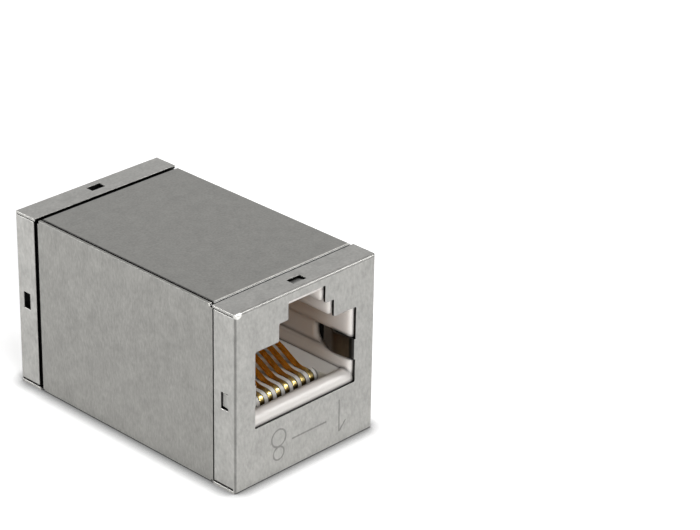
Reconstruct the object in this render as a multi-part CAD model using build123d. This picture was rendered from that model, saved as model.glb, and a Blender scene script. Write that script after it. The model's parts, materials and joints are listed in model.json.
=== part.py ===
from build123d import *
import os
from math import cos, hypot, radians, sin

# Shielded in-line coupler for two eight-way modular plugs.
# It lies on its bottom face with both latch notches up and one port at each end.
# X runs along the ports, Y from the front port to the rear one, Z up.
# The origin is the middle of the bottom face, and all sizes are millimetres.
# Each end is drawn inwards from its own port face, which is y = 0 in its own
# coordinates, and is then placed at the front or turned round to the rear.
# The sizes run outwards from the plug, so the outside is worked out from its walls.

# Clearance between parts that slide together
fit = 0.05

# Space for the plug in each port
cavity_width = 11.9
cavity_depth = 12.4  # port face to the stop for the plug
lip_height = 6.4  # bottom face to the ledge that the plug slides in on
shoulder_rise = 6.5  # ledge to the shoulders of the plug
step_width = 6.6
step_rise = 1.7  # shoulders to the step beside the latch
notch_width = 4.45
notch_rise = 1.3  # step to the roof over the latch

# Port housing
housing_wall = 1.05
housing_floor_wall = 0.3
housing_roof_wall = 0.45
stop_wall = 1.15  # stop for the plug to the back of the housing
lip_depth = 1.5
lip_radius = 0.85
mouth_radius = 0.6
latch_wall_depth = 2.1  # port face to the undercut that holds the latch
undercut_width = 8.8
band_rise = 1.05  # ledge to the recess for the grounding springs
band_height = 2.3
band_depth = 0.45
band_length = 10.2
side_window_depth = 5.3
side_window_corner = 0.85
comb_rise = 3.7  # ledge to the top of the rear comb
comb_depth = 1.5

# Moulded frame that holds both housings
frame_wall = 1.05
frame_roof_wall = 0.5
frame_floor_wall = 1.0
frame_rib = 0.9
frame_rib_spacing = 4.6
frame_edge = 0.3

# Folded shield sheet
sheet = 0.25
bend_radius = 0.3  # outside of every fold
flange_length = 2.75  # port face to the free edge of a cap's top and bottom flanges
side_flange_length = 2.6
flange_slit_top = 0.08  # side flange to top flange
flange_slit_bottom = 0.2  # side flange to bottom flange
shell_seam_front = 0.15  # side flanges of the front cap to the shells
shell_seam_top = 0.3  # top and bottom flanges of the front cap to the shells
shell_seam_rear = 0.55  # rear cap to shells
shell_seam_long = 0.2  # free edge of one shell to the wall of the other

# Plug opening in the shield, a little wider than the moulded one
opening_reveal = 0.125  # each side
notch_reveal = 0.4  # above the roof over the latch
lip_reveal = 0.9  # below the ledge
opening_corner = 0.15

# Catch window in the middle of each flange, and the sheet tongues pressed in there
catch_window_length = 1.6
catch_window_width = 0.9
catch_window_start = 0.85  # port face to the window
catch_width = 1.15  # top and bottom tongues
catch_shift = -0.17  # out of the middle
catch_reach = 0.75  # along the flange
catch_drop = 0.15  # how far its tip is pressed in
side_catch_width = 1.3  # left tongue
side_catch_shift = 0.07
side_catch_reach = 0.82
side_catch_drop = 0.12

# Grounding spring on each side of the plug opening
spring_width = 2.0
spring_play = 0.025  # spring to the top of its recess
spring_tab = 0.25  # how far its root stands into the opening
spring_length = 4.4
spring_bow = 0.25  # how far it bows towards the plug
spring_bow_start = 2.3  # port face to the tightest place
spring_bow_radius = 1.3
spring_return = 0.75  # how far its free end lies back

# Spring contacts
contact_count = 8
contact_pitch = 1.016
contact_width = 0.5
contact_thickness = 0.35
contact_play = 0.02  # contact to the nose that it wraps
contact_flat = 0.8  # run behind the nose
contact_slope_flat = 5.0  # degrees above the plate
contact_slope_steep = 28.0
contact_slope_end = 18.5
contact_steep_run = 1.9
contact_bend = 1.6
contact_sweep = 5.0  # radius where the steep run eases off
contact_end_gap = 0.5  # free end to the stop for the plug
tail_crank = 1.485  # step between the two rows of tails
tail_crank_angle = 60.0
tail_crank_radius = 0.45
tail_crank_lead = 0.6  # front of the tail block to the step
tail_play = 0.075  # lower tails to the floor of the tail block

# Contact carrier
plate_drop = 0.15  # ledge to the plate
plate_thickness = 1.5
plate_recess = 2.75  # port face to the combed nose
nose_core_radius = 0.42
tail_block_depth = 1.5  # front of the tail block to the stop for the plug

# Circuit board across the middle
board_thickness = 1.2
hole_play = 0.07  # around the corners of a tail
hole_sides = 12

# Heights above the bottom face
shoulder_height = lip_height + shoulder_rise
step_height = shoulder_height + step_rise
notch_height = step_height + notch_rise
band_bottom = lip_height + band_rise
band_top = band_bottom + band_height
plate_top = lip_height - plate_drop
plate_bottom = plate_top - plate_thickness
nose_radius = plate_thickness / 2
nose_height = plate_top - nose_radius
contact_radius = nose_core_radius + contact_play + contact_thickness / 2
tail_height = nose_height - contact_radius
tail_block_floor = tail_height - tail_crank - contact_thickness / 2 - tail_play
housing_floor = tail_block_floor - fit - housing_floor_wall
housing_roof = notch_height + housing_roof_wall

# Widths and depths
housing_width = cavity_width + 2 * housing_wall
housing_front = sheet + fit
board_front = cavity_depth + stop_wall + fit
groove_width = contact_width + 2 * fit
comb_width = contact_count * contact_pitch + contact_width / 2
nose_centre = plate_recess + nose_radius
tail_block_start = cavity_depth - tail_block_depth

# Outside of the closed coupler
body_width = housing_width + 2 * (fit + frame_wall + fit + sheet)
body_length = 2 * board_front + board_thickness
body_height = housing_roof + fit + frame_roof_wall + fit + sheet
half_width = body_width / 2
half_length = body_length / 2


def span(low, high):
    """Block between two opposite corners."""
    size = [b - a for a, b in zip(low, high)]
    middle = [(a + b) / 2 for a, b in zip(low, high)]
    return Pos(*middle) * Box(*size)


def along_y(outline, start, end):
    """Solid of an outline drawn in x and z, from one depth to another."""
    section = Plane((0, end, 0), x_dir=(1, 0, 0), z_dir=(0, -1, 0))
    return extrude(section * outline, amount=end - start)


def plug_outline(side_reveal, floor_reveal, roof_reveal):
    """Stepped outline of a modular plug with its latch up, grown by the given reveals."""
    width = cavity_width / 2 + side_reveal
    right = [
        (width, lip_height - floor_reveal),
        (width, shoulder_height),
        (step_width / 2, shoulder_height),
        (step_width / 2, step_height),
        (notch_width / 2, step_height),
        (notch_width / 2, notch_height + roof_reveal),
    ]
    left = [(-x, z) for x, z in reversed(right)]
    return make_face(Polyline(*right, *left, close=True))


def ribbon(path, width, thickness):
    """Flat strip of the given width, swept along a path that lies across X."""
    start = Plane(path @ 0, x_dir=(1, 0, 0), z_dir=path % 0)
    return sweep(start * Rectangle(width, thickness), path=path)


def chain(point, heading, moves):
    """Tangent path in y and z: each move is a straight run, then a turn."""
    edges = []
    for run, radius, turn in moves:
        if run:
            end = (point[0] + run * cos(radians(heading)), point[1] + run * sin(radians(heading)))
            edges.append(Line((0, *point), (0, *end)))
            point = end
        if turn:
            side = 1 if turn > 0 else -1
            centre = (
                point[0] - side * radius * sin(radians(heading)),
                point[1] + side * radius * cos(radians(heading)),
            )
            stops = [heading + turn * share - 90 * side for share in (0, 0.5, 1)]
            arc = [
                (0, centre[0] + radius * cos(radians(a)), centre[1] + radius * sin(radians(a)))
                for a in stops
            ]
            edges.append(ThreePointArc(*arc))
            point = arc[-1][1:]
            heading += turn
    return Wire(edges)


def grounding_spring():
    """Right-hand spring leaf, folded back from the edge of the plug opening."""
    root = cavity_width / 2 + opening_reveal - spring_tab
    line = FilletPolyline(
        (root + spring_tab + bend_radius, 0),
        (root, 0),
        (root - spring_bow, spring_bow_start),
        (root + spring_return, spring_length),
        radius=[bend_radius, spring_bow_radius],
    )
    leaf = make_face(offset(line, amount=sheet, side=Side.RIGHT, closed=True))
    low = band_top - spring_play - spring_width
    return Pos(0, 0, low) * extrude(leaf, amount=spring_width, dir=(0, 0, 1))


def catch_tongue(width, shift, reach, drop):
    """Small tongue in the top flange, hinged at the front, its tip pressed in by the drop."""
    hinge = catch_window_start - fit
    tip = catch_window_start + reach
    outline = Polyline(
        (hinge, body_height),
        (tip, body_height - drop),
        (tip, body_height - drop - sheet),
        (hinge, body_height - sheet),
        close=True,
    )
    return Pos(shift, 0, 0) * extrude(Plane.YZ * make_face(outline), amount=width / 2, both=True)


def catch_window(depth, play):
    """Window for one catch in the top flange, cut down to a depth and grown by the given play."""
    half = catch_window_length / 2 + play
    start = catch_window_start - play
    end = catch_window_start + catch_window_width + play
    return span((-half, start, body_height - depth), (half, end, body_height + sheet))


def on_flange(piece, angle):
    """Top-flange feature turned to another flange: 90 is the right one, 270 the left one."""
    reach = 0 if angle in (0, 180) else (body_width - body_height) / 2
    turned = Rot(0, angle, 0) * Pos(0, 0, reach - body_height / 2) * piece
    return Pos(0, 0, body_height / 2) * turned


def round_the_middle(piece):
    """Copies of a top-flange feature on the four flanges."""
    return [on_flange(piece, angle) for angle in (0, 90, 180, 270)]


def shield_cap(top_tongue):
    """End cap folded from one sheet: port face, four flanges, springs and catches."""
    outside = span((-half_width, 0, 0), (half_width, flange_length, body_height))
    outside = fillet(outside.faces().sort_by(Axis.Y)[0].edges(), bend_radius)
    inner_half = half_width - sheet
    inside = span((-inner_half, sheet, sheet), (inner_half, flange_length, body_height - sheet))
    inside = fillet(inside.faces().sort_by(Axis.Y)[0].edges(), bend_radius - sheet)
    cap = outside - inside
    for side in (-1, 1):
        near, far = sorted((side * inner_half, side * half_width))
        for low, slit in (
            (sheet, flange_slit_bottom),
            (body_height - sheet - flange_slit_top, flange_slit_top),
        ):
            cap -= span((near, bend_radius, low), (far, flange_length, low + slit))
        cap -= span((near, side_flange_length, sheet), (far, flange_length, body_height - sheet))
    opening = plug_outline(opening_reveal, lip_reveal, notch_reveal)
    opening = fillet(opening.vertices(), opening_corner)
    cap -= along_y(opening, 0, bend_radius)
    cap -= round_the_middle(catch_window(sheet, 0))
    tongue = catch_tongue(catch_width, catch_shift, catch_reach, catch_drop)
    if top_tongue:
        cap += tongue
    cap += on_flange(tongue, 180)
    side_tongue = catch_tongue(
        side_catch_width, side_catch_shift, side_catch_reach, side_catch_drop
    )
    cap += on_flange(side_tongue, 270)
    spring = grounding_spring()
    cap += spring
    cap += mirror(spring, about=Plane.YZ)
    return cap


def shell():
    """Upper cover folded from one sheet: top wall and right-hand wall."""
    corner = FilletPolyline(
        (-half_width + sheet + shell_seam_long, body_height),
        (half_width, body_height),
        (half_width, 0),
        radius=bend_radius,
    )
    profile = make_face(offset(corner, amount=sheet, side=Side.RIGHT, closed=True))
    rear = body_length - shell_seam_rear
    walls = along_y(profile, flange_length + shell_seam_top, rear - flange_length)
    side = span(
        (half_width - sheet, side_flange_length + shell_seam_front, sheet + fit),
        (half_width, rear - side_flange_length, body_height - bend_radius),
    )
    return walls + side


def cavity():
    """Space for the plug, its latch and the undercut behind the latch wall."""
    undercut = span(
        (-undercut_width / 2, latch_wall_depth, step_height),
        (undercut_width / 2, cavity_depth, notch_height),
    )
    return along_y(plug_outline(0, 0, 0), housing_front, cavity_depth) + undercut


def side_recess():
    """Right-hand recess for the grounding spring, and its window through the wall."""
    wall = cavity_width / 2
    band = span((0, housing_front, band_bottom), (wall + band_depth, band_length, band_top))
    window = span((0, housing_front, band_bottom), (housing_width / 2, side_window_depth, band_top))
    rear_edges = window.edges().filter_by(Axis.X).sort_by(Axis.Y)[2:]
    return band + fillet(rear_edges, side_window_corner)


def carrier_pocket(play):
    """Room under the plug for the contact carrier, grown by the given play."""
    side = cavity_width / 2 - fit + play
    bottom = plate_bottom - play
    plate = span((-side, lip_depth + fit - play, bottom), (side, board_front - fit + play, plate_top))
    half_block = comb_width / 2 + play
    block = span(
        (-half_block, tail_block_start - play, tail_block_floor - play),
        (half_block, board_front - fit + play, bottom),
    )
    return plate + block


def contact_rows():
    """Sideways places of the contacts, from number one on the right."""
    first = (contact_count - 1) / 2 * contact_pitch
    return [first - step * contact_pitch for step in range(contact_count)]


def is_cranked(number):
    """Every second tail steps down to the lower row of board holes."""
    return number % 2 == 0


def jack_housing():
    """Moulded port housing with its stepped latch channel and rear comb."""
    half = housing_width / 2
    back = board_front - fit
    body = span((-half, housing_front, housing_floor), (half, back, housing_roof))
    body -= cavity()
    mouth = body.faces().sort_by(Axis.Y)[0].inner_wires()[0].edges().sort_by(Axis.Z)
    body = fillet(mouth[1:-1], mouth_radius)
    lip = body.edges().filter_by(Axis.X).filter_by_position(Axis.Z, lip_height - fit, lip_height + fit)
    body = fillet(lip.sort_by(Axis.Y)[0], lip_radius)
    recess = side_recess()
    body -= recess
    body -= mirror(recess, about=Plane.YZ)
    body -= carrier_pocket(fit)
    body -= span(
        (-cavity_width / 2, lip_depth, plate_top), (cavity_width / 2, cavity_depth, lip_height)
    )
    comb_top = lip_height + comb_rise
    body += span(
        (-comb_width / 2, cavity_depth - comb_depth, plate_top + fit),
        (comb_width / 2, cavity_depth, comb_top),
    )
    for x in contact_rows():
        body -= Pos(x, 0, 0) * span(
            (-groove_width / 2, cavity_depth - comb_depth, plate_top),
            (groove_width / 2, cavity_depth, comb_top),
        )
    return body


def contact_carrier():
    """Plate that the contacts wrap: grooved on both sides, with a combed round nose."""
    carrier = carrier_pocket(0)
    half_comb = comb_width / 2 + fit
    carrier -= span((-half_comb, 0, plate_bottom), (half_comb, nose_centre, plate_top))
    nose = Pos(0, nose_centre, nose_height) * Rot(0, 90, 0)
    carrier += nose * Cylinder(nose_radius, comb_width)
    groove_reach = nose_radius - nose_core_radius
    ring = Cylinder(nose_radius + fit, groove_width) - Cylinder(nose_core_radius, groove_width)
    front_half = span(
        (-groove_width, 0, plate_bottom - fit), (groove_width, nose_centre, plate_top + fit)
    )
    ring = nose * ring & front_half
    for number, x in enumerate(contact_rows(), start=1):
        floor = tail_block_floor if is_cranked(number) else tail_height - groove_width / 2
        top = span(
            (-groove_width / 2, nose_centre, plate_top - groove_reach),
            (groove_width / 2, cavity_depth, plate_top),
        )
        run = span(
            (-groove_width / 2, nose_centre, plate_bottom),
            (groove_width / 2, board_front, plate_bottom + groove_reach),
        )
        tail = span(
            (-groove_width / 2, tail_block_start, floor),
            (groove_width / 2, board_front, plate_bottom + groove_reach),
        )
        carrier -= Pos(x, 0, 0) * (ring + top + run + tail)
    return carrier


def contact(number):
    """Spring contact: tail in the board, run below the plate, round the nose and up."""
    tail_end = half_length + board_thickness / 2 - fit
    wrap = -(180 - contact_slope_flat)
    if is_cranked(number):
        sloped = tail_crank / sin(radians(tail_crank_angle)) - 2 * tail_crank_radius * (
            (1 - cos(radians(tail_crank_angle))) / sin(radians(tail_crank_angle))
        )
        set_back = tail_crank_radius * sin(radians(tail_crank_angle))
        crank_length = 2 * set_back + sloped * cos(radians(tail_crank_angle))
        crank_start = tail_block_start + tail_crank_lead
        start = (tail_end, tail_height - tail_crank)
        moves = [
            (tail_end - crank_start - crank_length, tail_crank_radius, -tail_crank_angle),
            (sloped, tail_crank_radius, tail_crank_angle),
            (crank_start - nose_centre, contact_radius, wrap),
        ]
    else:
        start = (tail_end, tail_height)
        moves = [(tail_end - nose_centre, contact_radius, wrap)]
    moves += [
        (contact_flat, contact_bend, contact_slope_steep - contact_slope_flat),
        (contact_steep_run, contact_sweep, contact_slope_end - contact_slope_steep),
    ]
    rise = chain(start, 180, moves)
    left = cavity_depth - contact_end_gap - (rise @ 1).Y
    path = chain(start, 180, moves + [(left / cos(radians(contact_slope_end)), 0, 0)])
    return ribbon(path, contact_width, contact_thickness)


def circuit_board():
    """Board across the middle, with a hole for every tail of both ports."""
    board = span(
        (-housing_width / 2, board_front, housing_floor + fit),
        (housing_width / 2, board_front + board_thickness, housing_roof - fit),
    )
    hole_radius = hypot(contact_width, contact_thickness) / 2 + hole_play
    drill = extrude(Plane.XZ * RegularPolygon(hole_radius, hole_sides), board_thickness / 2, both=True)
    for number, x in enumerate(contact_rows(), start=1):
        height = tail_height - tail_crank if is_cranked(number) else tail_height
        board -= Pos(x, half_length, height) * drill
        board -= Pos(-x, half_length, height) * drill
    return board


def centre_frame():
    """Moulded sleeve that holds both housings and the board, ribbed along its floor."""
    skin = sheet + fit
    sleeve = span(
        (skin - half_width, skin, skin),
        (half_width - skin, body_length - skin, body_height - skin),
    )
    sleeve = chamfer(sleeve.edges(), frame_edge)
    bore_half = housing_width / 2 + fit
    bore_floor = housing_floor - fit
    bore = span((-bore_half, 0, bore_floor), (bore_half, body_length, housing_roof + fit))
    hollow_floor = skin + frame_floor_wall
    hollow = span((-bore_half, 0, hollow_floor), (bore_half, body_length, bore_floor))
    for place in (-1, 0, 1):
        hollow -= Pos(place * frame_rib_spacing, 0, 0) * span(
            (-frame_rib / 2, 0, hollow_floor), (frame_rib / 2, body_length, bore_floor)
        )
    sleeve -= bore
    sleeve -= hollow
    pockets = round_the_middle(catch_window(sheet + catch_drop + fit, fit))
    sleeve -= pockets
    sleeve -= [Pos(0, body_length, 0) * Rot(0, 0, 180) * pocket for pocket in pockets]
    return sleeve


front_end = Pos(0, -half_length, 0)
rear_end = Rot(0, 0, 180) * front_end
turned_over = Pos(0, 0, body_height) * Rot(0, 180, 0)

housing = jack_housing()
carrier = contact_carrier()
contacts = [contact(number) for number in range(1, contact_count + 1)]
upper_shell = front_end * shell()

parts = {
    "upper_shell": upper_shell,
    "lower_shell": turned_over * upper_shell,
    "centre_frame": front_end * centre_frame(),
    "circuit_board": front_end * circuit_board(),
}
for end, place in (("front", front_end), ("rear", rear_end)):
    parts[end + "_shield_cap"] = place * shield_cap(end == "front")
    parts[end + "_jack_housing"] = place * housing
    parts[end + "_contact_carrier"] = place * carrier
    for number, (wire, x) in enumerate(zip(contacts, contact_rows()), start=1):
        parts[end + "_contact_" + str(number)] = place * Pos(x, 0, 0) * wire

os.makedirs("parts", exist_ok=True)
for name, piece in parts.items():
    export_step(piece, "parts/" + name + ".step")
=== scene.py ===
import json
from math import cos, radians, sin

import bpy
import numpy as np
from mathutils import Matrix, Vector


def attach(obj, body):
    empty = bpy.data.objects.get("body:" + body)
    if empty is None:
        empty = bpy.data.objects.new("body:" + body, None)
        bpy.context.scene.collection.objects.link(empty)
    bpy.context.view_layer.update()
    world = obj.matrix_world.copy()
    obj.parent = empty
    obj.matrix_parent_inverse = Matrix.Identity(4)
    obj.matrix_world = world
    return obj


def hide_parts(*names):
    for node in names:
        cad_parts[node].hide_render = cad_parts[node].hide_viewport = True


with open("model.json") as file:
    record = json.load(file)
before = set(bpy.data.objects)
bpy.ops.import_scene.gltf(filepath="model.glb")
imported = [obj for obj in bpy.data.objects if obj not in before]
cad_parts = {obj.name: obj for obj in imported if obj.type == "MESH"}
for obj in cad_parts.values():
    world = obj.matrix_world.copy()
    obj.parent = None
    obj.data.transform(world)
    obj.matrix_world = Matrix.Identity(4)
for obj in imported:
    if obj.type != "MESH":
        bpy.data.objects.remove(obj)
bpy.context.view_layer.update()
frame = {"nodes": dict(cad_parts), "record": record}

# Shielded in-line coupler on a white table, in metres, front port towards -Y.

millimetre = 0.001
samples = {"openness": 8, "softEdges": 6}  # rays of each, for every shaded point


# Shader maths: a socket that can be used in sums
class Wire:
    def __init__(self, tree, socket):
        self.tree = tree
        self.socket = socket

    def maths(self, operation, *others):
        return self.tree.add("ShaderNodeMath", {"operation": operation}, [self, *others])

    def __add__(self, other):
        return self.maths("ADD", other)

    def __sub__(self, other):
        return self.maths("SUBTRACT", other)

    def __mul__(self, other):
        return self.maths("MULTIPLY", other)

    def __truediv__(self, other):
        return self.maths("DIVIDE", other)

    def __pow__(self, other):
        return self.maths("POWER", other)

    def __rsub__(self, other):
        return self.tree.add("ShaderNodeMath", {"operation": "SUBTRACT"}, [other, self])

    def __abs__(self):
        return self.maths("ABSOLUTE")

    __radd__ = __add__
    __rmul__ = __mul__

    def least(self, other):
        return self.maths("MINIMUM", other)

    def most(self, other):
        return self.maths("MAXIMUM", other)

    # 0 below low, 1 above high, smooth between
    def between(self, low, high):
        settings = {"interpolation_type": "SMOOTHSTEP"}
        inputs = {"Value": self, "From Min": low, "From Max": high, "To Min": 0.0, "To Max": 1.0}
        return self.tree.add("ShaderNodeMapRange", settings, inputs)


# Node tree of one material or world
class NodeTree:
    def __init__(self, owner):
        owner.use_nodes = True
        self.nodes = owner.node_tree.nodes
        self.links = owner.node_tree.links
        self.nodes.clear()

    def feed(self, socket, value):
        if isinstance(value, Wire):
            self.links.new(value.socket, socket)
        else:
            socket.default_value = value

    def place(self, kind, settings=None, inputs=None):
        node = self.nodes.new(kind)
        for name, value in (settings or {}).items():
            setattr(node, name, value)
        pairs = enumerate(inputs) if isinstance(inputs, (list, tuple)) else (inputs or {}).items()
        for key, value in pairs:
            self.feed(node.inputs[key], value)
        return node

    def add(self, kind, settings=None, inputs=None, output=0):
        return Wire(self, self.place(kind, settings, inputs).outputs[output])

    def vector(self, operation, *inputs, output=0):
        return self.add("ShaderNodeVectorMath", {"operation": operation}, inputs, output)

    def axes(self, vector):
        node = self.place("ShaderNodeSeparateXYZ", {}, [vector])
        return [Wire(self, socket) for socket in node.outputs]

    def tinted(self, colour, shade):
        inputs = {"Vector": colour, "Scale": shade}
        return self.add("ShaderNodeVectorMath", {"operation": "SCALE"}, inputs)

    # The node's colour sockets are reached by number, because their names repeat
    def mixColour(self, factor, first, second):
        inputs = {0: factor, 6: first, 7: second}
        return self.add("ShaderNodeMix", {"data_type": "RGBA"}, inputs, output=2)

    def noise(self, place, scale, detail, roughness=0.5):
        inputs = {"Vector": place, "Scale": scale, "Detail": detail, "Roughness": roughness}
        return self.add("ShaderNodeTexNoise", {}, inputs)

    def mapped(self, place, scale=(1.0, 1.0, 1.0), turn=(0.0, 0.0, 0.0)):
        inputs = {"Vector": place, "Rotation": turn, "Scale": scale}
        return self.add("ShaderNodeMapping", {}, inputs)

    # 1 in the open, towards 0 where something stands nearer than the reach
    def openness(self, reach, power):
        settings = {"samples": samples["openness"]}
        inputs = {"Distance": reach}
        return self.add("ShaderNodeAmbientOcclusion", settings, inputs, output="AO") ** power

    # Normal that turns round every edge within the radius
    def softEdges(self, radius):
        return self.add("ShaderNodeBevel", {"samples": samples["softEdges"]}, {"Radius": radius})

    # Rays that show the backdrop: 1 straight to the camera, and 1 by way of metal or glass
    def backdropRays(self):
        paths = self.place("ShaderNodeLightPath")
        camera, glossy, clear = (Wire(self, paths.outputs[name]) for name in (
            "Is Camera Ray", "Is Glossy Ray", "Is Transmission Ray"))
        return camera, glossy.most(clear)


def colour(red, green, blue):
    return (red, green, blue, 1.0)


# One finish: build(tree, place) returns the values of the shader's sockets
def finish(name, build, **constants):
    material = bpy.data.materials.new(name)
    tree = NodeTree(material)
    place = tree.add("ShaderNodeTexCoord", output="Object")
    sockets = build(tree, place)
    sockets.update(constants)
    shader = tree.add("ShaderNodeBsdfPrincipled", {}, sockets)
    tree.place("ShaderNodeOutputMaterial", {}, {"Surface": shader})
    return material


print("finishes")

shield = {
    "half": (8.4 * millimetre, 14.2 * millimetre, 8.6 * millimetre),
    "centre": (0.0, 0.0, 8.6 * millimetre),
    "fold": 0.3 * millimetre,
    "skin": (0.02 * millimetre, 0.06 * millimetre),  # depth where the outside ends
    "turnOver": 0.02 * millimetre,  # in which one part of a finish turns into the next
    "nearTable": (0.2 * millimetre, 0.8 * millimetre),  # height below which the painted shade is left off
    "creaseShade": (0.5 * millimetre, 1.6),  # reach of the painted shade beside close walls, and power
}


# How far a point lies below the folded box: the fold radius less the length of what
# is left of its place, measured from the box shrunk by that radius
def depthInShield(tree, place):
    inner = tuple(half - shield["fold"] for half in shield["half"])
    fromCentre = tree.vector("ABSOLUTE", tree.vector("SUBTRACT", place, shield["centre"]))
    beyond = tree.vector("MAXIMUM", tree.vector("SUBTRACT", fromCentre, inner), (0.0, 0.0, 0.0))
    return shield["fold"] - tree.vector("LENGTH", beyond, output="Value")


# Distance to a ring in the plane of the port face: that to its middle less the radius
def toRing(across, up, centre, radius):
    return abs(((across - centre[0]) ** 2.0 + (up - centre[1]) ** 2.0) ** 0.5 - radius)


# Distance to an upright or level stroke, square at its ends: the larger of the two ways past it
def toStroke(across, up, centre, reach):
    return (abs(across - centre[0]) - reach[0]).most(0.0).most(abs(up - centre[1]) - reach[1])


# Places and lengths of the strokes are shares of the height, from the middle of their number
pinNumbers = {
    "middle": (-0.45 * millimetre, 2.85 * millimetre),  # to the right when read upright, and z
    "spread": 3.7 * millimetre,  # from the middle to each number
    "height": 3.0 * millimetre,
    "stem": 0.5,  # half the upright stroke of the 1
    "flag": (0.16, 0.36),  # a place on its slanting stroke, to the left and up
    "flagLean": (0.75, 0.66),
    "flagSpan": (0.38, 0.12),  # middle and half height
    "upperRing": (0.27, 0.21),  # of the 8: middle and radius
    "lowerRing": (-0.23, 0.28),
    "dash": 0.55,  # half the line between them, as a share of the spread
    "groove": (0.05 * millimetre, 0.12 * millimetre),  # half width of its bottom and of the whole
    "onFace": (0.05 * millimetre, 0.01 * millimetre),  # depth below the port face
    "shade": 0.38,
    "depth": 4.0,  # against that of the streaks
}


# Engraved 1 and 8 with a line between, upside down below each port: a groove lies where the
# nearest stroke or ring is near enough
def numberGrooves(x, y, z):
    tall = pinNumbers["height"]
    spread = pinNumbers["spread"]
    across = x * y.maths("SIGN") - pinNumbers["middle"][0]
    up = pinNumbers["middle"][1] - z
    flagLeft, flagUp = pinNumbers["flag"]
    leanAcross, leanUp = pinNumbers["flagLean"]
    flagMiddle, flagReach = pinNumbers["flagSpan"]
    slant = (across + spread + flagLeft * tall) * leanAcross - (up - flagUp * tall) * leanUp
    nearest = abs(slant).most(abs(up - flagMiddle * tall) - flagReach * tall)
    rings = [
        toRing(across, up, (spread, middle * tall), radius * tall)
        for middle, radius in (pinNumbers["upperRing"], pinNumbers["lowerRing"])
    ]
    for distance in (
        toStroke(across, up, (-spread, 0.0), (0.0, pinNumbers["stem"] * tall)),
        toStroke(across, up, (0.0, 0.0), (pinNumbers["dash"] * spread, 0.0)),
        *rings,
    ):
        nearest = nearest.least(distance)
    low, high = (shield["half"][1] - depth for depth in pinNumbers["onFace"])
    onFace = abs(y).between(low, high)
    return (1.0 - nearest.between(*pinNumbers["groove"])) * onFace


# Every shade is the share of light that is taken off
capMarks = {
    "port": (7.2 * millimetre, 7.7 * millimetre),  # half width and half height, inside the folds
    "freeEdge": 11.7 * millimetre,  # just behind the free edges
    "cutShade": 0.93,  # painted shade taken off the cut edges
    "leaf": (0.4 * millimetre, 0.2 * millimetre),  # depth where it starts, and turns over
    "leafShade": 0.76,
    # Brown painted reflection of the dark port on the leaf
    "leafShadeColour": (0.44, 0.36, 0.28),
    "tongueShade": 0.62,
    "brightTongue": 0.75,  # share of that painted shade left off in the window left of each port
    "sideWall": 1.0 * millimetre,  # a flange and its tongue lie in it
    # Half width, middle and half length of the catch windows
    "window": (0.78 * millimetre, 12.9 * millimetre, 0.44 * millimetre),
    "windowShade": 0.36,  # painted shade in the window on top
    "foldShade": (0.52, 0.22, 0.54),  # painted shade on the upright folds, and where it starts and is whole
    "ridgeShade": (0.35, 0.15, 0.45),  # painted shade on the fold above the port face
    "glint": (0.46 * millimetre, 0.38 * millimetre),  # painted highlight: half width and half height
    "glintAt": (0.35 * millimetre, 0.12 * millimetre),  # in from the side and down from the top
    "glintFade": (0.5, 1.1),
    "glintRise": (0.1, 0.5),
    "glintGain": 1.2,
}


# Painted shade on the cut edges round the plug opening and along the free edges, a brown painted
# reflection and painted shade on the leaf inside the port, painted half shade on the tongues, less
# of it left of each port, and painted shade in the windows on top: each is a share taken off below
# the surface
def capShade(x, y, z, below):
    turnOver = shield["turnOver"]
    halfX, halfY, halfZ = shield["half"]
    portWidth, portHeight = capMarks["port"]
    inPort = (portWidth - abs(x)).least(portHeight - abs(z - shield["centre"][2]))
    inPort = inPort.between(0.0, turnOver)
    freeEdge = (capMarks["freeEdge"] - abs(y)).between(0.0, turnOver)
    leafDepth, leafTurn = capMarks["leaf"]
    leaf = (halfY - leafDepth - abs(y)).between(0.0, leafTurn)
    port = capMarks["cutShade"] - leaf * (capMarks["cutShade"] - capMarks["leafShade"])
    share = (inPort * port).most(freeEdge * (1.0 - inPort) * capMarks["cutShade"])
    sideWindow = (abs(x) - halfX + capMarks["sideWall"]).between(0.0, turnOver)
    bright = (x * y).maths("SIGN").most(0.0) * sideWindow * capMarks["brightTongue"]
    kept = 1.0 - below * share.most(capMarks["tongueShade"] * (1.0 - bright))
    halfWidth, middle, halfLength = capMarks["window"]
    window = (halfWidth - abs(x)).least(halfLength - abs(abs(y) - middle)).least(z - halfZ)
    kept = kept * (1.0 - window.between(0.0, turnOver) * capMarks["windowShade"])
    return kept, inPort * leaf


# Painted shade on the upright folds beside the port face, where they mirror the table's shade, and
# on the one above it, where it mirrors a lamp: the product of the two ways into a fold is largest
# in its middle. A painted highlight lies over an oval at the upper left corner of each port face.
def foldMarks(x, y, z):
    halfX, halfY, halfZ = shield["half"]
    fold = shield["fold"]
    sideways = (abs(x) - halfX + fold).most(0.0) / fold
    lengthways = (abs(y) - halfY + fold).most(0.0) / fold
    foldShare, foldStart, foldWhole = capMarks["foldShade"]
    upright = (sideways * lengthways).between(foldStart, foldWhole)
    width, height = capMarks["glint"]
    inwards, down = capMarks["glintAt"]
    oval = ((abs(x) - halfX + inwards) / width) ** 2.0
    oval = oval + ((z - 2 * halfZ + down) / height) ** 2.0
    upwards = (z - 2 * halfZ + fold).most(0.0) / fold
    ridgeShare, ridgeStart, ridgeWhole = capMarks["ridgeShade"]
    ridge = (upwards * lengthways).between(ridgeStart, ridgeWhole) * ridgeShare
    leftOnly = (x * y).maths("SIGN").most(0.0)
    glint = 1.0 - oval.between(*capMarks["glintFade"])
    glint = glint * lengthways.between(*capMarks["glintRise"]) * leftOnly
    return (upright * foldShare).most(ridge), glint * capMarks["glintGain"]


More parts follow.
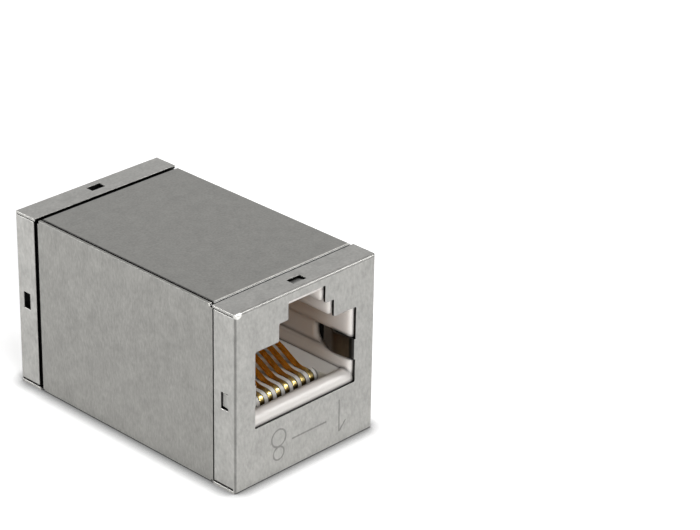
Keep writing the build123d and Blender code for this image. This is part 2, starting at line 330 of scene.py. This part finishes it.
shellMarks = {
    "frontEdge": 11.13 * millimetre,  # just behind the front edges
    "cutShade": 0.93,
    "topWall": 0.28 * millimetre,  # its marks show in this depth alone
    "rim": (0.11 * millimetre, 0.16 * millimetre),  # depth where the painted highlight on the cut edge ends
    # Pale non-metal cut edge: a painted highlight
    "rimHighlightColour": (0.92, 0.92, 0.90),
    "frontHighlight": 0.16 * millimetre,  # half width of the painted highlight line along the front edges
    "frontHighlightAt": 0.02 * millimetre,
    "frontHighlightFade": 0.7,
    "frontHighlightGain": 1.5,
    "longEdge": 7.90 * millimetre,  # beside the long free edges, from the middle
    "seamShade": (0.04 * millimetre, 0.10 * millimetre, 0.8),  # even and whole reach, and share
}


# Painted highlight on the cut edge and in a line along the front of the top wall, painted shade on
# the cut edges, and painted shade in a line beside the long free edges: returns the shade's factor
# and the bright rim
def shellShade(x, y, z, depth, below):
    turnOver = shield["turnOver"]
    halfZ = shield["half"][2]
    onTop = (z - 2 * halfZ + shellMarks["topWall"]).between(0.0, turnOver)
    beyond = 0.0 - y - shellMarks["frontEdge"]
    rim = below * (1.0 - depth.between(*shellMarks["rim"]))
    rim = rim * beyond.between(0.0, 0.5 * turnOver) * onTop
    frontHighlight = shellMarks["frontHighlight"]
    fromLine = abs(beyond - shellMarks["frontHighlightAt"])
    line = 1.0 - fromLine.between(shellMarks["frontHighlightFade"] * frontHighlight, frontHighlight)
    kept = (1.0 - below * shellMarks["cutShade"]) * (1.0 + line * onTop * shellMarks["frontHighlightGain"])
    even, reach, dark = shellMarks["seamShade"]
    onLevel = (abs(z - halfZ) - halfZ).between(-turnOver, 0.0)
    turned = x * (halfZ - z).maths("SIGN")
    fromSeam = abs(turned - shellMarks["longEdge"])
    return kept * (1.0 - (1.0 - fromSeam.between(even, reach)) * onLevel * dark), rim


rolledSheet = {
    "lean": (0.06, 0.10, 0.0),
    "streaks": (1.0, 3.0, 0.62),  # scale, detail and roughness, stretched by the weave
    "clouds": (760.0, 2.0, 0.5),
    "bump": (0.16, 0.02 * millimetre),
    "roughness": (0.12, 0.10),  # by the clouds and by the streaks
}
shellPlating = {
    "colour": (0.296, 0.292, 0.276),
    "weave": (5000.0, 5000.0, 1900.0),
    "grain": 0.62,
    "cloud": 0.30,
    "roughness": 0.36,
    "edgeRadius": 0.05 * millimetre,
}
capPlating = {
    "colour": (0.410, 0.405, 0.387),
    "weave": (4000.0, 4000.0, 2000.0),
    "grain": 0.66,
    "cloud": 0.34,
    "roughness": 0.36,
    "edgeRadius": 0.12 * millimetre,
}


# Satin plate on rolled sheet: short upright streaks over a faint cloud
def platedSheet(look, isCap):
    def build(tree, place):
        x, y, z = tree.axes(place)
        leaning = tree.mapped(place, turn=rolledSheet["lean"])
        streaks = tree.noise(tree.mapped(leaning, look["weave"]), *rolledSheet["streaks"])
        cloud = tree.noise(place, *rolledSheet["clouds"])
        shade = 1.0 + (streaks - 0.5) * look["grain"] + (cloud - 0.5) * look["cloud"]
        depth = depthInShield(tree, place)
        below = depth.between(*shield["skin"])
        raised = z.between(*shield["nearTable"])
        # Painted shade beside close walls, left off near the table
        shade = shade * (1.0 - (1.0 - tree.openness(*shield["creaseShade"])) * raised)
        if isCap:
            kept, leaf = capShade(x, y, z, below)
            fold, glint = foldMarks(x, y, z)
            groove = numberGrooves(x, y, z)
            shade = shade * kept * (1.0 - fold)
            shade = shade * (1.0 - groove * pinNumbers["shade"]) + glint
            # Brown painted reflection on the leaf inside the port
            base = tree.mixColour(leaf, colour(*look["colour"]), colour(*capMarks["leafShadeColour"]))
            base = tree.tinted(base, shade)
            metal = 1.0
            relief = streaks - groove * pinNumbers["depth"]
        else:
            kept, rim = shellShade(x, y, z, depth, below)
            plate = tree.tinted(look["colour"], shade * kept)
            # Pale cut edge at the front of the top wall: a painted highlight
            base = tree.mixColour(rim, plate, colour(*shellMarks["rimHighlightColour"]))
            metal = 1.0 - rim
            relief = streaks
        strength, distance = rolledSheet["bump"]
        bump = tree.add("ShaderNodeBump", {}, {
            "Strength": strength,
            "Distance": distance,
            "Height": relief,
            "Normal": tree.softEdges(look["edgeRadius"]),
        })
        byCloud, byStreaks = rolledSheet["roughness"]
        uneven = (cloud - 0.5) * byCloud + (streaks - 0.5) * byStreaks
        return {
            "Base Color": base,
            "Metallic": metal,
            "Roughness": look["roughness"] + uneven,
            "Normal": bump,
        }
    return build


mould = {
    "clouds": (300.0, 2.0),  # scale and detail
    "pores": (5200.0, 2.0),
    "uneven": (0.05, 0.10),  # of the shade by the clouds, and of the roughness by the pores
    "relief": 0.01 * millimetre,
}
portPlastic = {
    "colour": (0.82, 0.785, 0.75),
    # Painted shade, warm, that darkens the walls deep inside the port
    "inner": (0.43, 0.37, 0.32),
    "innerShadeFrom": (8.8 * millimetre, 13.6 * millimetre),  # from the middle, whole and not at all
    "mouth": (12.5 * millimetre, 13.6 * millimetre),  # where the painted light and shade at the mouth come in, from the middle
    "ledge": (6.3 * millimetre, 6.7 * millimetre),  # height where it ends and the walls start
    "mouthLightAndShade": (0.83, 1.24),  # painted shade on the ledge and painted light on the walls
    "roughness": 0.18,
    "texture": 0.05,
    "edgeRadius": 0.70 * millimetre,
    "creaseShade": (0.35 * millimetre, 1.3),
}
carrierPlastic = {
    "colour": (0.67, 0.655, 0.625),
    "roughness": 0.42,
    "texture": 0.10,
    "edgeRadius": 0.04 * millimetre,
    "creaseShade": (0.25 * millimetre, 1.0),
}
framePlastic = {
    # Near black: this middle piece shows in the seams and windows, and its black is partly painted
    # shade of those deep gaps
    "colour": (0.006, 0.006, 0.006),
    "roughness": 0.6,
    "texture": 0.15,
    "edgeRadius": 0.05 * millimetre,
    "creaseShade": (0.5 * millimetre, 1.0),
    "gloss": 0.15,
}
boardLook = {
    "colour": (0.03, 0.16, 0.07),
    "roughness": 0.35,
    "texture": 0.05,
    "edgeRadius": 0.03 * millimetre,
    "creaseShade": (0.2 * millimetre, 1.0),
}


# Moulded plastic with a faint mould texture and painted shade in creases and beside close walls.
# Where a look gives them, painted shade makes it darker and warmer deep inside, and painted light
# and shade change it at the mouth.
def mouldedPlastic(look):
    def build(tree, place):
        x, y, z = tree.axes(place)
        base = look["colour"]
        if "inner" in look:
            # Painted shade deep inside the port, warm
            nearMouth = abs(y).between(*look["innerShadeFrom"])
            base = tree.mixColour(nearMouth, colour(*look["inner"]), colour(*base))
        cloud = tree.noise(place, *mould["clouds"])
        pores = tree.noise(place, *mould["pores"])
        byCloud, byPores = mould["uneven"]
        # Painted shade in creases and beside close walls
        shade = (1.0 + (cloud - 0.5) * byCloud) * tree.openness(*look["creaseShade"])
        # Painted light on the walls at the mouth, painted shade on its ledge
        if "mouthLightAndShade" in look:
            ledge, walls = look["mouthLightAndShade"]
            gain = ledge + z.between(*look["ledge"]) * (walls - ledge)
            shade = shade * (1.0 + abs(y).between(*look["mouth"]) * (gain - 1.0))
        bump = tree.add("ShaderNodeBump", {}, {
            "Strength": look["texture"],
            "Distance": mould["relief"],
            "Height": pores,
            "Normal": tree.softEdges(look["edgeRadius"]),
        })
        return {
            "Base Color": tree.tinted(base, shade),
            "Roughness": look["roughness"] + (pores - 0.5) * byPores,
            "Normal": bump,
        }
    return build


# Distances are from the middle of the coupler
goldLook = {
    "colour": (1.0, 0.44, 0.05),
    # Partly wear, partly painted highlight: paler gold towards the nose
    "wearAndHighlight": (1.0, 0.66, 0.18),
    "wearAndHighlightFrom": (9.50 * millimetre, 10.80 * millimetre),
    # The nose's wear and its painted highlight
    "tipWearAndHighlight": (1.0, 0.78, 0.31),
    "tipWearAndHighlightFrom": (10.45 * millimetre, 10.75 * millimetre),
    "nose": (10.85 * millimetre, 0.15 * millimetre),  # where its shade starts, and turns over
    "noseLit": (5.62 * millimetre, 5.92 * millimetre),  # height where it comes out of shade
    "noseShade": 0.85,
    "lines": (16000.0, 900.0, 900.0),
    "uneven": (0.16, 0.12),  # of the shade and of the roughness, by the lines
    "roughness": (0.22, 0.06),  # and what the paler nose adds
    "edgeRadius": 0.03 * millimetre,
    "creaseShade": (0.4 * millimetre, 0.5),
}


# Gold flash on a drawn strip: fine lines along it, wear and painted highlight paler towards the
# nose, and painted shade beside close walls and on the lower front of the nose
def goldStrip(look):
    def build(tree, place):
        x, y, z = tree.axes(place)
        lines = tree.noise(tree.mapped(place, look["lines"]), 1.0, 2.0)
        away = abs(y)
        noseFrom, noseTurn = look["nose"]
        nose = (away - noseFrom).between(0.0, noseTurn) * (1.0 - z.between(*look["noseLit"]))
        shadeByLines, roughnessByLines = look["uneven"]
        # Painted shade beside close walls, then on the lower front of the nose
        shade = (1.0 + (lines - 0.5) * shadeByLines) * tree.openness(*look["creaseShade"])
        shade = shade * (1.0 - nose * look["noseShade"])
        wearAndHighlight = away.between(*look["wearAndHighlightFrom"])
        tipWearAndHighlight = away.between(*look["tipWearAndHighlightFrom"])
        flash = tree.mixColour(wearAndHighlight, colour(*look["colour"]), colour(*look["wearAndHighlight"]))
        flash = tree.mixColour(tipWearAndHighlight, flash, colour(*look["tipWearAndHighlight"]))
        even, onPale = look["roughness"]
        return {
            "Base Color": tree.tinted(flash, shade),
            "Roughness": even + (lines - 0.5) * roughnessByLines + tipWearAndHighlight * onPale,
            "Normal": tree.softEdges(look["edgeRadius"]),
        }
    return build


blackGloss = {"Specular IOR Level": framePlastic["gloss"]}
materials = {
    "shield_sheet": finish("shellPlating", platedSheet(shellPlating, False)),
    "shield_cap_sheet": finish("capPlating", platedSheet(capPlating, True)),
    "ivory_moulding": finish("portPlastic", mouldedPlastic(portPlastic)),
    "grey_moulding": finish("carrierPlastic", mouldedPlastic(carrierPlastic)),
    "black_moulding": finish("framePlastic", mouldedPlastic(framePlastic), **blackGloss),
    "gold_contact": finish("goldStrip", goldStrip(goldLook), Metallic=1.0),
    "board_laminate": finish("boardMask", mouldedPlastic(boardLook)),
}

for part in frame["record"]["subparts"]:
    node = frame["nodes"][part["node"]]
    node.data.materials.clear()
    node.data.materials.append(materials[part["material_slot"]])


print("contacts")

# Each strip is drawn from its tail in the board: y from its own port face, and z
contactStrip = {
    "width": 0.48 * millimetre,
    "thickness": 0.31 * millimetre,
    "squareness": 0.32,  # 1 makes the section an ellipse, and near 0 it is a sharp rectangle
    "count": 8,
    "pitch": 1.016 * millimetre,
    "tail": (14.75 * millimetre, 4.885 * millimetre),
    "lowTail": (14.75 * millimetre, 3.40 * millimetre),  # of every second strip
    "freeEnd": 11.9 * millimetre,
    "arcSteps": 14,
    "sectionSteps": 24,
}
# Straight runs in millimetres, each with the radius and the degrees of the bend after it
straightTail = [(11.25, 0.615, -175.0)]
crankedTail = [(1.873, 0.45, -60.0), (1.195, 0.45, 60.0), (8.0, 0.615, -175.0)]
springRise = [(0.8, 1.6, 23.0), (1.9, 5.0, -9.5)]


# Path of runs and bends: an arc is cut into equal chords, each 2 r sin(half its turn) long,
# and every place is the running sum of the runs and chords. A last run reaches the end's y.
def bentPath(start, moves, end):
    lengths, headings, heading = [], [], 180.0
    arcSteps = contactStrip["arcSteps"]
    for run, radius, turn in moves:
        turns = turn / arcSteps
        chord = 2 * radius * sin(radians(abs(turns) / 2))
        lengths += [run] + [chord] * arcSteps
        headings += [heading] + [heading + turns * (count + 0.5) for count in range(arcSteps)]
        heading += turn
    angles = np.radians(headings)
    steps = np.array(lengths)[:, None] * np.stack([np.cos(angles), np.sin(angles)], axis=1)
    path = np.vstack([start, np.array(start) + np.cumsum(steps * millimetre, axis=0)])
    direction = np.array([cos(radians(heading)), sin(radians(heading))])
    last = (end - path[-1, 0]) / direction[0]
    return np.vstack([path, path[-1] + last * direction])


# Strip swept along a path: its section is a superellipse, the sides cos^s and sin^s of one
# turn, set across the mean direction of the two chords that meet at each place
def sweptStrip(path, across):
    chords = np.diff(path, axis=0)
    chords /= np.linalg.norm(chords, axis=1)[:, None]
    along = np.vstack([chords[:1], chords[:-1] + chords[1:], chords[-1:]])
    along /= np.linalg.norm(along, axis=1)[:, None]
    count = contactStrip["sectionSteps"]
    turn = (np.arange(count) + 0.5) * 2 * np.pi / count
    rounded = contactStrip["squareness"]
    side = np.sign(np.cos(turn)) * np.abs(np.cos(turn)) ** rounded * contactStrip["width"] / 2
    rise = np.sign(np.sin(turn)) * np.abs(np.sin(turn)) ** rounded * contactStrip["thickness"] / 2
    points = np.empty((len(path), count, 3))
    points[..., 0] = across + side
    points[..., 1] = path[:, :1] - along[:, 1:] * rise
    points[..., 2] = path[:, 1:] + along[:, :1] * rise
    rows, columns = np.meshgrid(np.arange(len(path) - 1), np.arange(count), indexing="ij")
    beside = (columns + 1) % count
    faces = np.stack([rows * count + columns, (rows + 1) * count + columns,
                      (rows + 1) * count + beside, rows * count + beside], axis=-1)
    ends = [list(range(count)), list(range((len(path) - 1) * count, len(path) * count))[::-1]]
    return points.reshape(-1, 3), faces.reshape(-1, 4).tolist() + ends


# The rear port is the front one turned half round
def makeContact(end, number):
    low = number % 2 == 0
    tail = contactStrip["lowTail" if low else "tail"]
    moves = (crankedTail if low else straightTail) + springRise
    path = bentPath(tail, moves, contactStrip["freeEnd"])
    fromMiddle = (contactStrip["count"] + 1) / 2 - number
    points, faces = sweptStrip(path, fromMiddle * contactStrip["pitch"])
    points[:, 1] -= shield["half"][1]
    if end == "rear":
        points[:, :2] *= -1.0
    name = end + "Contact" + str(number)
    mesh = bpy.data.meshes.new(name)
    mesh.from_pydata(points.tolist(), [], faces)
    mesh.polygons.foreach_set("use_smooth", [len(face) == 4 for face in faces])
    mesh.materials.append(materials["gold_contact"])
    strip = bpy.data.objects.new(name, mesh)
    bpy.context.scene.collection.objects.link(strip)
    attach(strip, "root")
    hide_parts(end + "_contact_" + str(number))


for end in ("front", "rear"):
    for number in range(1, contactStrip["count"] + 1):
        makeContact(end, number)


print("table and light")

table = {
    "size": 3.0,
    "colour": (0.90, 0.90, 0.90),
    "seenLift": 0.50,  # straight to the camera, so that the bare table is white
    "mirrorLift": 0.36,  # the same in metal
    "shadow": (1.6 * millimetre, 2.0),  # reach of the painted contact shadow beside the object, and power
    "mirroredShadow": 0.25,  # share of it that the metal mirrors
    "far": (0.25, 1.20, 0.45),  # distances between which it turns as bright as the room, and lift
    "roughness": 0.9,
}


# Flat square in the XY plane. Its lift is for the rays that show it alone, and a painted contact
# shadow dims both it and the table's colour.
def makeTable():
    half = table["size"] / 2
    corners = np.array([[-half, -half, 0], [half, -half, 0], [half, half, 0], [-half, half, 0]])
    mesh = bpy.data.meshes.new("table")
    mesh.from_pydata(corners.tolist(), [], [[0, 1, 2, 3]])
    top = bpy.data.objects.new("table", mesh)
    bpy.context.scene.collection.objects.link(top)
    material = bpy.data.materials.new("tableTop")
    tree = NodeTree(material)
    place = tree.add("ShaderNodeTexCoord", output="Object")
    start, end, gain = table["far"]
    far = tree.vector("LENGTH", place, output="Value").between(start, end) * gain
    seen, mirrored = tree.backdropRays()
    kept = 1.0 - mirrored * (1.0 - table["mirroredShadow"])
    # Painted contact shadow from the openness beside the object
    openSky = 1.0 - (1.0 - tree.openness(*table["shadow"])) * kept
    lift = (seen * (far + table["seenLift"]) + mirrored * table["mirrorLift"]) * openSky
    shader = tree.add("ShaderNodeBsdfPrincipled", {}, {
        "Base Color": tree.tinted(table["colour"], openSky),
        "Roughness": table["roughness"],
        "Specular IOR Level": 0.0,
        "Emission Color": lift,
        "Emission Strength": 1.0,
    })
    tree.place("ShaderNodeOutputMaterial", {}, {"Surface": shader})
    mesh.materials.append(material)


makeTable()

# Place, width, height and watts of each
lamps = {
    "overhead": ((0.00, 0.05, 0.60), 0.50, 0.50, 0.60),
    "fold": ((0.42, -0.26, 0.42), 0.17, 0.17, 0.98),
    "front": ((-0.22, -0.60, 0.28), 0.30, 0.30, 2.75),
    "left": ((-0.35, 0.30, 0.07), 0.30, 0.10, 1.12),
    "corner": ((-0.33, -0.36, 0.33), 0.06, 0.06, 0.04),
}
lampTarget = (0.0, 0.0, 0.008)


def aimAt(thing, place, target):
    direction = Vector(target) - Vector(place)
    turn = direction.to_track_quat("-Z", "Y").to_matrix().to_4x4()
    thing.matrix_world = Matrix.Translation(place) @ turn


for name, (place, width, height, watts) in lamps.items():
    light = bpy.data.lights.new(name, "AREA")
    light.shape = "RECTANGLE"
    light.size = width
    light.size_y = height
    light.energy = watts
    lamp = bpy.data.objects.new(name, light)
    bpy.context.scene.collection.objects.link(lamp)
    aimAt(lamp, place, lampTarget)

room = {
    "strength": 0.25,
    "seen": 1.0,  # for the rays that show it, near the level of the table
    "fade": (0.10, 0.55, 0.30),  # upward share where it starts and ends, and how much
}
world = bpy.data.worlds.new("room")
bpy.context.scene.world = world
tree = NodeTree(world)
upward = tree.axes(tree.add("ShaderNodeTexCoord", output="Generated"))[2]
low, high, loss = room["fade"]
seen, mirrored = tree.backdropRays()
shown = room["seen"] - upward.between(low, high) * loss - room["strength"]
glow = room["strength"] + (seen + mirrored).least(1.0) * shown
background = tree.add("ShaderNodeBackground", {}, {"Color": glow, "Strength": 1.0})
tree.place("ShaderNodeOutputWorld", {}, {"Surface": background})


print("camera")

cameraView = {
    "eye": (-0.1427, -0.1552, 0.1183),
    "yaw": 46.36,  # degrees from +Y towards +X
    "pitch": 26.32,  # degrees down
    "roll": -1.18,
    "lens": 137.0,  # in millimetres, as the sensor
    "sensor": 36.0,
    "clipStart": 0.01,
}


def makeCamera():
    yaw, pitch, roll = (radians(cameraView[name]) for name in ("yaw", "pitch", "roll"))
    forward = Vector((sin(yaw) * cos(pitch), cos(yaw) * cos(pitch), -sin(pitch)))
    level = Vector((cos(yaw), -sin(yaw), 0.0))
    down = forward.cross(level)
    right = cos(roll) * level + sin(roll) * down
    up = sin(roll) * level - cos(roll) * down
    data = bpy.data.cameras.new("photoView")
    data.sensor_width = cameraView["sensor"]
    data.lens = cameraView["lens"]
    data.clip_start = cameraView["clipStart"]
    camera = bpy.data.objects.new("photoView", data)
    bpy.context.scene.collection.objects.link(camera)
    turn = Matrix((right, up, -forward)).transposed().to_4x4()
    camera.matrix_world = Matrix.Translation(cameraView["eye"]) @ turn
    bpy.context.scene.camera = camera


makeCamera()
bpy.context.scene.view_settings.view_transform = "Standard"
